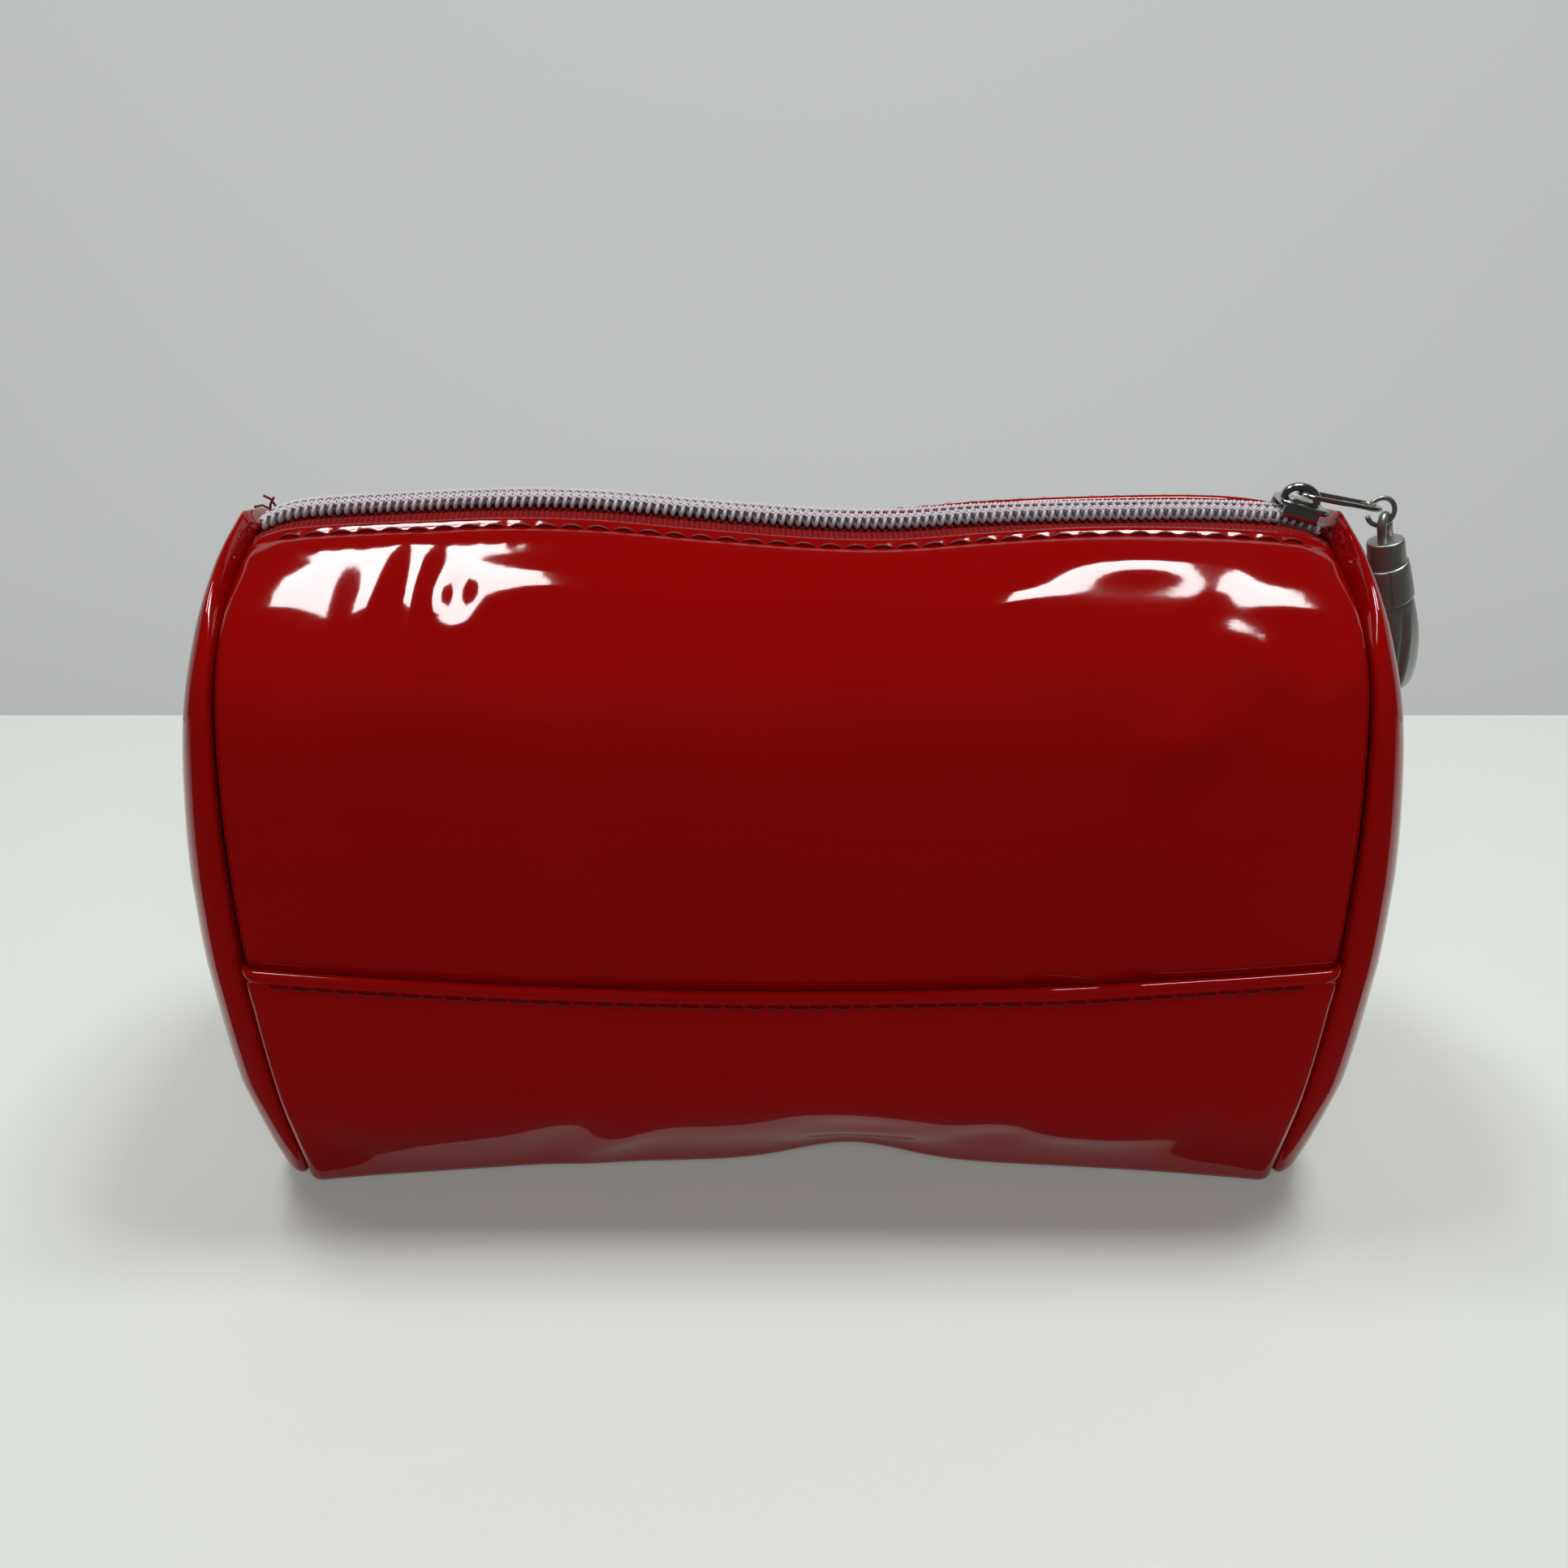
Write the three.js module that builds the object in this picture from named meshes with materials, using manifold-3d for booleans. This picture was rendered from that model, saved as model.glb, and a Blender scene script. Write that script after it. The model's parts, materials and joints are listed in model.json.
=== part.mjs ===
// Zip-top cosmetic pouch in patent vinyl: a soft box with bulging ends, a front slip pocket, a lining and
// a coil zip whose slider carries a link, a jump ring and a metal charm. Millimetres, +Z up, front at -Y.
// The origin is the middle of the base's flat underside.
import * as THREE from 'three';
import { mergeVertices } from 'three/addons/utils/BufferGeometryUtils.js';
import Module from 'manifold-3d';

const wasm = await Module();
wasm.setup();

// Driving dimensions
const BODY_HALF_LENGTH = 96.5; // seam to seam, half
const GAP = 0.3; // between pieces that touch on the real pouch
const VINYL = 1.2;
const LINING = 0.6;
const BASE_THICK = 0.9;
const BASE_HALF_DEPTH = 26.8;
const HEM_HEIGHT = 58; // mouth of the front slip pocket
const HEM_ROLL = 2.0; // the turned hem's radius
const FOLD_HEIGHT = 100; // above it the panels open with the zip
const LIP_HALF_LENGTH = 84.5; // the stretch of the top that opens
const LIP_LINING_EDGE = 18; // the lining stops this far from the middle, under the zip tape

const END_BULGE = 14; // how far the ends stand out past their seams
const END_ROUNDING = 28; // how far in from its seam an end takes to reach that
const END_SEGMENTS = 5;
const BULGE_FULL_BELOW = 55; // the ends bulge less towards the zip
const BULGE_LOSS_PER_MM = 0.0064;

const COIL_HALF_GAP = 1.0; // the slider's post runs between the two halves
const COIL_WIDTH = 1.9;
const COIL_HEIGHT = 2.2;
const COIL_MIDDLE = 130.4;
const TAPE_THICK = 0.5;
const TAPE_CLOSED_REACH = 4; // where the two tapes are sewn together at their ends
const CHAIN_END_LENGTH = 10.2; // from the part that opens to the end seam
const CHAIN_END_BAR = 0.5; // the last of that length, where the two halves are one
const CHAIN_END_FALL = 0.15; // drop per millimetre towards the end seam

const SLIDER_X = 91; // closed; it travels towards -X
const SLIDER_TILT = 6; // nose down, degrees
const SLIDER_LENGTH = 9.4;
const SLIDER_WIDTH = 8.8;
const SLIDER_PLATE = 1.0;
const SLIDER_ROOM_ABOVE = 1.77; // from the coil's middle to the upper plate
const SLIDER_ROOM_BELOW = 3.2; // to the lower plate, with the tapes in between
const SLIDER_OVERLAP = 0.2; // how far the slider's parts run into its plates
const FLANGE_INNER = 3.2;
const FLANGE_OUTER = 3.78;
const FLANGE_DROP = 0.4; // below the coil's middle
const POST_HALF = 0.6;
const BRIDGE_WIDTH = 1.8;
const BRIDGE_HOLE_HALF = 2.2;
const BRIDGE_HOLE_HEIGHT = 3.0;
const BRIDGE_BAR = 1.3;
const BRIDGE_FOOT = 0.4; // sunk into the upper plate

const PULL_YAW = 6; // the pull points a little to the back
const LINK_TILT = 12; // and down
const LINK_LENGTH = 16.6; // outside
const LINK_WIDTH = 5.8; // outside
const LINK_BAR = 1.3;
const LINK_THICK = 1.2;
const RING_RADIUS = 2.6;
const RING_WIRE = 0.8;
const RING_OPEN_DEG = 24;
const RING_DROP = 0.75; // from the link's end bar to the ring's middle, along X and down
const CHARM_DROP = 0.85; // from the ring's middle to the top of the charm's loop, down
const CHARM_TILT = 18; // it rests on the bulging end
const CHARM_LOOP_RADIUS = 1.9;
const CHARM_LOOP_WIRE = 1.5;
const CHARM_LOOP_LEG = 4.0;
const CHARM_LOOP_TURN = 50;

// Half of the cross-section, as distance from the middle plane and height: outer face of the vinyl panels
const SIDE = new THREE.SplineCurve([
  new THREE.Vector2(27, 1.5),
  new THREE.Vector2(36.8, 28),
  new THREE.Vector2(42.3, 55),
  new THREE.Vector2(43.2, 75),
  new THREE.Vector2(41.5, 92),
  new THREE.Vector2(36.5, 109),
  new THREE.Vector2(27, 120.5),
  new THREE.Vector2(17, 126.5),
  new THREE.Vector2(8, 129.6),
]);
const SIDE_STEPS = 30;
const END_STEPS = 14;
const END_CORNER_SHARE = 0.17; // of the side curve, straight on the ends
const BEYOND = 200; // more than the pouch measures

const degrees = THREE.MathUtils.degToRad;
const vector = (x, y, z) => new THREE.Vector3(x, y, z);

// Closed meshes and solids
function solidOf(geometry) {
  const bare = geometry.clone();
  bare.deleteAttribute('normal');
  bare.deleteAttribute('uv');
  const merged = mergeVertices(bare, 1e-4);
  return new wasm.Manifold(new wasm.Mesh({
    numProp: 3,
    vertProperties: new Float32Array(merged.attributes.position.array),
    triVerts: new Uint32Array(merged.index.array),
  }));
}

function geometryOf(solid) {
  const mesh = solid.getMesh();
  const geometry = new THREE.BufferGeometry();
  geometry.setAttribute('position', new THREE.BufferAttribute(new Float32Array(mesh.vertProperties), 3));
  geometry.setIndex(new THREE.BufferAttribute(new Uint32Array(mesh.triVerts), 1));
  return geometry;
}

function block(low, high) {
  const geometry = new THREE.BoxGeometry(high.x - low.x, high.y - low.y, high.z - low.z);
  geometry.translate((low.x + high.x) / 2, (low.y + high.y) / 2, (low.z + high.z) / 2);
  return geometry;
}

// A cross-section drawn as (depth, height) is pushed along the pouch's length
function alongLength(points, start, end) {
  const geometry = new THREE.ExtrudeGeometry(new THREE.Shape(points), {
    depth: end - start,
    bevelEnabled: false,
    steps: 1,
  });
  geometry.applyMatrix4(new THREE.Matrix4().makeBasis(vector(0, 1, 0), vector(0, 0, 1), vector(1, 0, 0)));
  geometry.translate(start, 0, 0);
  return geometry;
}

// Points of the side curve moved outwards by a distance, as seen from the front
function sidePoints(outwards, from = 0, to = 1, steps = SIDE_STEPS) {
  const points = [];
  for (let i = 0; i <= steps; i += 1) {
    const at = from + (to - from) * (i / steps);
    const tangent = SIDE.getTangentAt(at);
    const point = SIDE.getPointAt(at);
    points.push(new THREE.Vector2(-(point.x + tangent.y * outwards), point.y - tangent.x * outwards));
  }
  return points;
}

// Where along the side curve a height is reached
function shareAtHeight(height) {
  let low = 0;
  let high = 1;
  for (let i = 0; i < 40; i += 1) {
    const middle = (low + high) / 2;
    if (SIDE.getPointAt(middle).y < height) low = middle;
    else high = middle;
  }
  return low;
}

function band(outwards, thickness, from, to, halfLength = BODY_HALF_LENGTH) {
  const outer = sidePoints(outwards, from, to);
  const inner = sidePoints(outwards - thickness, from, to).reverse();
  return alongLength([...outer, ...inner], -halfLength, halfLength);
}

// Everything in front of the zip, above a height
const lipBox = (halfLength, height) => (
  solidOf(block(vector(-halfLength, -BEYOND, height), vector(halfLength, 0, BEYOND)))
);

function sidePanel() {
  const whole = solidOf(band(0, VINYL, 0, 1));
  return geometryOf(whole.subtract(lipBox(LIP_HALF_LENGTH, FOLD_HEIGHT)));
}

function lipPanel() {
  const whole = solidOf(band(0, VINYL, 0, 1));
  return geometryOf(whole.intersect(lipBox(LIP_HALF_LENGTH - GAP, FOLD_HEIGHT + GAP)));
}

// Lining: inside the vinyl, up to the zip tape's seam
const LINING_TOP = (() => {
  let share = 1;
  while (SIDE.getPointAt(share).x < LIP_LINING_EDGE) share -= 0.005;
  return share;
})();
const LINING_DEPTH = VINYL + GAP;
const END_LINING_DEPTH = LINING_DEPTH + 0.6; // the faceted dome needs a little more room

function sideLining() {
  const whole = solidOf(band(-LINING_DEPTH, LINING, 0, LINING_TOP, BODY_HALF_LENGTH - GAP));
  return geometryOf(whole.subtract(lipBox(LIP_HALF_LENGTH, FOLD_HEIGHT - GAP)));
}

function lipLining() {
  const whole = solidOf(band(-LINING_DEPTH, LINING, 0, LINING_TOP, BODY_HALF_LENGTH - GAP));
  return geometryOf(whole.intersect(lipBox(LIP_HALF_LENGTH - GAP, FOLD_HEIGHT + GAP)));
}

// Slip pocket: a second panel over the lower front, with a turned and stitched hem at its mouth
function pocketPanel() {
  const top = shareAtHeight(HEM_HEIGHT - HEM_ROLL);
  const face = solidOf(band(GAP + VINYL, VINYL, 0, top));
  const mouth = sidePoints(GAP + HEM_ROLL / 2, top, 1)[0];
  const roll = new THREE.Shape();
  roll.absellipse(mouth.x, mouth.y, HEM_ROLL / 2, HEM_ROLL, 0, 2 * Math.PI, false, 0);
  const hem = alongLength(roll.getPoints(5), -BODY_HALF_LENGTH, BODY_HALF_LENGTH);
  return geometryOf(face.add(solidOf(hem)));
}

// Bulging end: a thin domed shell, open towards the pouch. Its outline has one straight stretch up from each
// lower corner, as long as the rounding needs there
function endOutline() {
  const front = [...sidePoints(0, 0, 1, 1).slice(0, 1), ...sidePoints(0, END_CORNER_SHARE, 1, END_STEPS)];
  const back = front.map((p) => new THREE.Vector2(-p.x, p.y)).reverse();
  return new THREE.Shape([...front, ...back]);
}

function dome(inset, rounding) {
  const geometry = new THREE.ExtrudeGeometry(endOutline(), {
    depth: 1,
    steps: 1,
    bevelEnabled: true,
    bevelThickness: END_BULGE - inset,
    bevelSize: rounding,
    bevelOffset: -rounding - inset,
    bevelSegments: END_SEGMENTS,
  });
  geometry.translate(0, 0, -1);
  geometry.applyMatrix4(new THREE.Matrix4().makeBasis(vector(0, 1, 0), vector(0, 0, 1), vector(1, 0, 0)));
  return solidOf(geometry);
}

function endShell(inset, thickness) {
  const outward = solidOf(block(vector(0, -BEYOND, -BEYOND), vector(BEYOND, BEYOND, BEYOND)));
  const shell = dome(inset, END_ROUNDING).subtract(dome(inset + thickness, END_ROUNDING)).intersect(outward);
  const geometry = geometryOf(shell);
  const position = geometry.attributes.position;
  for (let i = 0; i < position.count; i += 1) {
    const above = Math.max(0, position.getZ(i) - BULGE_FULL_BELOW);
    position.setX(i, position.getX(i) * (1 - BULGE_LOSS_PER_MM * above));
  }
  geometry.translate(BODY_HALF_LENGTH + GAP, 0, 0);
  return geometry;
}

// Zip: one half is a woven tape with its coil; the coil halves leave room for the slider's post
const TAPE_TOP = COIL_MIDDLE - COIL_HEIGHT / 2 - GAP;
const TAPE_LINE = [
  [COIL_HALF_GAP, TAPE_TOP],
  [TAPE_CLOSED_REACH, TAPE_TOP],
  [7.4, 128.0],
  [16.2, 125.0],
];

function tapeHalf(start, end) {
  const top = TAPE_LINE.map(([depth, height]) => new THREE.Vector2(-depth, height));
  const under = TAPE_LINE.map(([depth, height]) => new THREE.Vector2(-depth, height - TAPE_THICK)).reverse();
  return alongLength([...top, ...under], start, end);
}

function coilHalf(start, end) {
  return block(
    vector(start, -COIL_HALF_GAP - COIL_WIDTH, COIL_MIDDLE - COIL_HEIGHT / 2),
    vector(end, -COIL_HALF_GAP, COIL_MIDDLE + COIL_HEIGHT / 2),
  );
}

// Past the part that opens the zip bends down to the end seam
function bentDown(geometry) {
  const position = geometry.attributes.position;
  for (let i = 0; i < position.count; i += 1) {
    const past = position.getX(i) - LIP_HALF_LENGTH - GAP;
    position.setZ(i, position.getZ(i) - past * CHAIN_END_FALL);
  }
  return geometry;
}

// The last of the chain: both coils closed together and sewn into the end seam
function chainEnd() {
  const start = LIP_HALF_LENGTH + GAP;
  const end = start + CHAIN_END_LENGTH;
  const reach = COIL_HALF_GAP + COIL_WIDTH;
  const bottom = COIL_MIDDLE - COIL_HEIGHT / 2;
  const front = block(vector(start, -reach, bottom), vector(end, -COIL_HALF_GAP, bottom + COIL_HEIGHT));
  const back = block(vector(start, COIL_HALF_GAP, bottom), vector(end, reach, bottom + COIL_HEIGHT));
  const across = block(vector(end - CHAIN_END_BAR, -reach, bottom), vector(end, reach, bottom + COIL_HEIGHT));
  return bentDown(geometryOf(solidOf(front).add(solidOf(back)).add(solidOf(across))));
}

function tapeEnd() {
  const start = LIP_HALF_LENGTH + GAP;
  const end = start + CHAIN_END_LENGTH;
  const front = tapeHalf(start, end);
  const back = front.clone();
  back.rotateZ(Math.PI);
  back.translate(start + end, 0, 0);
  const across = block(
    vector(end - CHAIN_END_BAR, -TAPE_CLOSED_REACH, TAPE_TOP - TAPE_THICK),
    vector(end, TAPE_CLOSED_REACH, TAPE_TOP),
  );
  return bentDown(geometryOf(solidOf(front).add(solidOf(back)).add(solidOf(across))));
}

// Slider: two plates joined by the post at the nose, flanges round the coils, and the bridge that holds the link
function bridge() {
  const top = SLIDER_ROOM_ABOVE + SLIDER_PLATE;
  const reach = BRIDGE_HOLE_HALF + BRIDGE_BAR;
  const height = BRIDGE_HOLE_HEIGHT + BRIDGE_BAR;
  const outer = new THREE.Shape();
  outer.moveTo(-reach, -BRIDGE_FOOT);
  outer.lineTo(reach, -BRIDGE_FOOT);
  outer.lineTo(reach, height / 2);
  outer.absellipse(0, height / 2, reach, height / 2, 0, Math.PI, false, 0);
  const hole = new THREE.Path();
  hole.moveTo(-BRIDGE_HOLE_HALF, 0);
  hole.lineTo(BRIDGE_HOLE_HALF, 0);
  hole.lineTo(BRIDGE_HOLE_HALF, BRIDGE_HOLE_HEIGHT / 2);
  hole.absellipse(0, BRIDGE_HOLE_HEIGHT / 2, BRIDGE_HOLE_HALF, BRIDGE_HOLE_HEIGHT / 2, 0, Math.PI, false, 0);
  outer.holes.push(hole);
  const geometry = new THREE.ExtrudeGeometry(outer, { depth: BRIDGE_WIDTH, bevelEnabled: false, curveSegments: 8 });
  geometry.rotateX(Math.PI / 2);
  geometry.translate(0, BRIDGE_WIDTH / 2, top);
  return geometry;
}

// A plate seen from above narrows from the nose to the tail, as the coils come together
function plate(bottom) {
  const half = SLIDER_LENGTH / 2;
  const wide = SLIDER_WIDTH / 2;
  const outline = new THREE.Shape();
  outline.moveTo(-half, -wide * 0.86);
  outline.lineTo(half * 0.5, -wide);
  outline.quadraticCurveTo(half, -wide * 0.8, half, 0);
  outline.quadraticCurveTo(half, wide * 0.8, half * 0.5, wide);
  outline.lineTo(-half, wide * 0.86);
  const geometry = new THREE.ExtrudeGeometry(outline, { depth: SLIDER_PLATE, bevelEnabled: false, curveSegments: 5 });
  geometry.translate(0, 0, bottom);
  return geometry;
}

function sliderBody() {
  const half = SLIDER_LENGTH / 2;
  const above = SLIDER_ROOM_ABOVE;
  const below = -SLIDER_ROOM_BELOW;
  const flange = (side) => {
    const outer = side * FLANGE_OUTER;
    const inner = side * FLANGE_INNER;
    return block(
      vector(-half, Math.min(outer, inner), -FLANGE_DROP),
      vector(half * 0.6, Math.max(outer, inner), above + SLIDER_OVERLAP),
    );
  };
  const post = block(
    vector(half * 0.3, -POST_HALF, below - SLIDER_OVERLAP),
    vector(half * 0.62, POST_HALF, above + SLIDER_OVERLAP),
  );
  const pieces = [plate(above), plate(below - SLIDER_PLATE), flange(-1), flange(1), post, bridge()];
  return geometryOf(pieces.map(solidOf).reduce((whole, piece) => whole.add(piece)));
}

// Link: a flat oval loop
function oval(ShapeClass, length, width) {
  const path = new ShapeClass();
  const straight = length / 2 - width / 2;
  path.moveTo(-straight, -width / 2);
  path.lineTo(straight, -width / 2);
  path.absarc(straight, 0, width / 2, -Math.PI / 2, Math.PI / 2, false);
  path.lineTo(-straight, width / 2);
  path.absarc(-straight, 0, width / 2, Math.PI / 2, Math.PI * 1.5, false);
  return path;
}

function pullLink() {
  const shape = oval(THREE.Shape, LINK_LENGTH, LINK_WIDTH);
  shape.holes.push(oval(THREE.Path, LINK_LENGTH - 2 * LINK_BAR, LINK_WIDTH - 2 * LINK_BAR));
  const geometry = new THREE.ExtrudeGeometry(shape, { depth: LINK_THICK, bevelEnabled: false, curveSegments: 8 });
  geometry.translate(LINK_LENGTH / 2 - LINK_BAR / 2, 0, -LINK_THICK / 2);
  return geometry;
}

// Round wire along a curve
function wire(curve, diameter, steps) {
  const section = new THREE.Shape();
  section.absarc(0, 0, diameter / 2, 0, 2 * Math.PI, false);
  return new THREE.ExtrudeGeometry(section, { extrudePath: curve, steps, curveSegments: 4, bevelEnabled: false });
}

class UprightArc extends THREE.Curve {
  constructor(radius, from, to) {
    super();
    Object.assign(this, { radius, from, to });
  }

  getPoint(share, target = vector(0, 0, 0)) {
    const angle = degrees(this.from + (this.to - this.from) * share);
    return target.set(this.radius * Math.cos(angle), 0, this.radius * Math.sin(angle));
  }
}

function jumpRing() {
  const opening = 180;
  return wire(new UprightArc(RING_RADIUS, opening + RING_OPEN_DEG / 2, opening + 360 - RING_OPEN_DEG / 2),
    RING_WIRE, 28);
}

// Charm: a thick upturned U that hangs in the ring, on a turned bud-shaped body
function charmLoop() {
  const path = new THREE.CurvePath();
  const down = -CHARM_LOOP_RADIUS - CHARM_LOOP_LEG;
  const side = CHARM_LOOP_RADIUS;
  path.add(new THREE.LineCurve3(vector(side, 0, down), vector(side, 0, -side)));
  path.add(new (class extends UprightArc {
    getPoint(share, target = vector(0, 0, 0)) {
      return super.getPoint(share, target).add(vector(0, 0, -side));
    }
  })(side, 0, 180));
  path.add(new THREE.LineCurve3(vector(-side, 0, -side), vector(-side, 0, down)));
  const geometry = wire(path, CHARM_LOOP_WIRE, 22);
  geometry.rotateZ(degrees(CHARM_LOOP_TURN));
  return geometry;
}

const CHARM_PROFILE = [
  [0, 0],
  [3.2, 0],
  [3.55, -0.4],
  [3.55, -3.6],
  [4.1, -3.9],
  [4.3, -7],
  [4.5, -11.4],
  [4.2, -11.8],
  [4.55, -14.5],
  [4.7, -18],
  [4.5, -22],
  [4.0, -26],
  [3.2, -29.2],
  [2.0, -30.5],
  [0, -30.8],
];

function charmBody() {
  const points = CHARM_PROFILE.map(([radius, height]) => new THREE.Vector2(radius, height)).reverse();
  const geometry = new THREE.LatheGeometry(points, 20);
  geometry.rotateX(Math.PI / 2);
  geometry.translate(0, 0, -CHARM_LOOP_RADIUS - CHARM_LOOP_LEG - GAP);
  return geometry;
}

// Finishes
const finish = (color, roughness, metalness) => () => new THREE.MeshStandardMaterial({ color, roughness, metalness });
const vinyl = finish(0x7a0a08, 0.12, 0);
const lining = finish(0x2a2224, 0.8, 0);
const tape = finish(0x6a1414, 0.85, 0);
const coil = finish(0x9a93a6, 0.35, 0.1);
const nickel = finish(0x8d8c8a, 0.3, 1);

function named(name, geometry, material) {
  const mesh = new THREE.Mesh(geometry, material());
  mesh.name = name;
  return mesh;
}

function halfTurned(...meshes) {
  const group = new THREE.Group();
  group.rotation.z = Math.PI;
  group.add(...meshes);
  return group;
}

const pouch = new THREE.Group();

pouch.add(
  named('base_panel', block(
    vector(-BODY_HALF_LENGTH, -BASE_HALF_DEPTH, 0),
    vector(BODY_HALF_LENGTH, BASE_HALF_DEPTH, BASE_THICK),
  ), vinyl),
  named('lining_base', block(
    vector(-BODY_HALF_LENGTH + GAP, -BASE_HALF_DEPTH + 2.3, BASE_THICK + GAP),
    vector(BODY_HALF_LENGTH - GAP, BASE_HALF_DEPTH - 2.3, BASE_THICK + GAP + LINING),
  ), lining),
  named('front_panel', sidePanel(), vinyl),
  named('front_pocket', pocketPanel(), vinyl),
  named('lining_front', sideLining(), lining),
  named('right_end_panel', endShell(0, VINYL), vinyl),
  named('lining_right_end', endShell(END_LINING_DEPTH, LINING), lining),
  named('front_panel_top', lipPanel(), vinyl),
  named('lining_front_top', lipLining(), lining),
  named('front_zip_tape', tapeHalf(-LIP_HALF_LENGTH + GAP, LIP_HALF_LENGTH - GAP), tape),
  named('front_zip_coil', coilHalf(-LIP_HALF_LENGTH + GAP, LIP_HALF_LENGTH - GAP), coil),
  named('right_tape_end', tapeEnd(), tape),
  named('right_coil_end', chainEnd(), coil),
);

pouch.add(halfTurned(
  named('back_panel', sidePanel(), vinyl),
  named('lining_back', sideLining(), lining),
  named('left_end_panel', endShell(0, VINYL), vinyl),
  named('lining_left_end', endShell(END_LINING_DEPTH, LINING), lining),
  named('back_panel_top', lipPanel(), vinyl),
  named('lining_back_top', lipLining(), lining),
  named('back_zip_tape', tapeHalf(-LIP_HALF_LENGTH + GAP, LIP_HALF_LENGTH - GAP), tape),
  named('back_zip_coil', coilHalf(-LIP_HALF_LENGTH + GAP, LIP_HALF_LENGTH - GAP), coil),
  named('left_tape_end', tapeEnd(), tape),
  named('left_coil_end', chainEnd(), coil),
));

const slider = new THREE.Group();
slider.position.set(SLIDER_X, 0, COIL_MIDDLE);
slider.rotation.y = degrees(SLIDER_TILT);
slider.add(named('slider_body', sliderBody(), nickel));
pouch.add(slider);

// The pull hangs to the right, from the middle of the bridge's hole
const hole = vector(0, 0, SLIDER_ROOM_ABOVE + SLIDER_PLATE + BRIDGE_HOLE_HEIGHT / 2)
  .applyAxisAngle(vector(0, 1, 0), degrees(SLIDER_TILT))
  .add(slider.position);
const pull = new THREE.Group();
pull.position.copy(hole);
pull.rotation.z = degrees(PULL_YAW);
pouch.add(pull);

const link = named('pull_link', pullLink(), nickel);
link.rotation.y = degrees(LINK_TILT);
pull.add(link);

const linkEnd = vector(LINK_LENGTH - LINK_BAR, 0, 0).applyAxisAngle(vector(0, 1, 0), degrees(LINK_TILT));
const ring = named('jump_ring', jumpRing(), nickel);
ring.position.copy(linkEnd).add(vector(RING_DROP, 0, -RING_DROP));
pull.add(ring);

const charm = new THREE.Group();
charm.position.copy(ring.position).add(vector(RING_DROP, 0, -CHARM_DROP));
charm.rotation.y = degrees(-CHARM_TILT);
charm.add(
  named('charm_loop', charmLoop(), nickel),
  named('charm_body', charmBody(), nickel),
);
pull.add(charm);

export default pouch;
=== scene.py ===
import json
import math

import bmesh
import bpy
import numpy as np
from mathutils import Matrix, Vector


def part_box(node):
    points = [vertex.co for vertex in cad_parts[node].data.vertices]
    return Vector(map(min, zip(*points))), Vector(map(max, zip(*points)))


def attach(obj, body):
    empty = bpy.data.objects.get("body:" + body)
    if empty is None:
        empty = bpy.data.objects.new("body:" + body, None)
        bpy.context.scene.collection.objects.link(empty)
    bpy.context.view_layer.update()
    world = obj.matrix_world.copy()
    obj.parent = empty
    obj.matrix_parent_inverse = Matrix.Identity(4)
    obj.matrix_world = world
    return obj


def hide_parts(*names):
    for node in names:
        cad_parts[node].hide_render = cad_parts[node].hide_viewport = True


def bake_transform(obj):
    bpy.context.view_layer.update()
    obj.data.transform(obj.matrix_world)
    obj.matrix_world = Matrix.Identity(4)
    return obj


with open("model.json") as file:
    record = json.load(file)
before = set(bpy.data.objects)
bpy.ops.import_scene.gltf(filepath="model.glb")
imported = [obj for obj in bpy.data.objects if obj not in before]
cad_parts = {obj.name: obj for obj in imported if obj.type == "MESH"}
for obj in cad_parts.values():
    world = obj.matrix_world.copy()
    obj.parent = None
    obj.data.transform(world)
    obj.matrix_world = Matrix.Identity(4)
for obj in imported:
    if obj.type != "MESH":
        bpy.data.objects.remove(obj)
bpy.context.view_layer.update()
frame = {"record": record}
MM = 0.001

# Camera: at sitting height in front of the pouch, looking down on it. Everything else is placed from
# the frame. Its place is in metres.
CAMERA_PLACE = (-0.0013, -0.278, 0.211)
CAMERA_PITCH = 26
CAMERA_LENS = 36.3

camera = bpy.data.objects.new("camera", bpy.data.cameras.new("camera"))
bpy.context.scene.collection.objects.link(camera)
bpy.context.scene.camera = camera
camera.location = CAMERA_PLACE
camera.rotation_euler = (math.radians(90 - CAMERA_PITCH), 0, 0)
camera.data.sensor_width = 36
camera.data.lens = CAMERA_LENS
camera.data.clip_start = 0.01


# Patent vinyl: PVC film on a knitted back, deep red with a mirror gloss. It is never quite flat, so the film
# carries a faint orange peel and soft waves a few centimetres long.
class Shade:
    """A value that varies over a surface. Sums on it add Math nodes."""

    def __init__(self, tree, socket=None):
        self.tree = tree
        self.socket = socket

    def node(self, kind, settings, sockets, output=0):
        made = self.tree.nodes.new(kind)
        for name, value in settings.items():
            if name == "stops":
                ramp = made.color_ramp
                while len(ramp.elements) < len(value):
                    ramp.elements.new(0.5)
                for element, (place, level) in zip(ramp.elements, value):
                    element.position = place
                    element.color = (level, level, level, 1)
            else:
                setattr(made, name, value)
        for name, value in sockets.items():
            if isinstance(value, Shade):
                self.tree.links.new(value.socket, made.inputs[name])
            else:
                made.inputs[name].default_value = value
        return Shade(self.tree, made.outputs[output] if made.outputs else None)

    def math(self, operation, left, right):
        return self.node("ShaderNodeMath", {"operation": operation}, {0: left, 1: right})

    def __add__(self, other):
        return self.math("ADD", self, other)

    def __radd__(self, other):
        return self.math("ADD", other, self)

    def __sub__(self, other):
        return self.math("SUBTRACT", self, other)

    def __rsub__(self, other):
        return self.math("SUBTRACT", other, self)

    def __mul__(self, other):
        return self.math("MULTIPLY", self, other)

    def __rmul__(self, other):
        return self.math("MULTIPLY", other, self)


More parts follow.
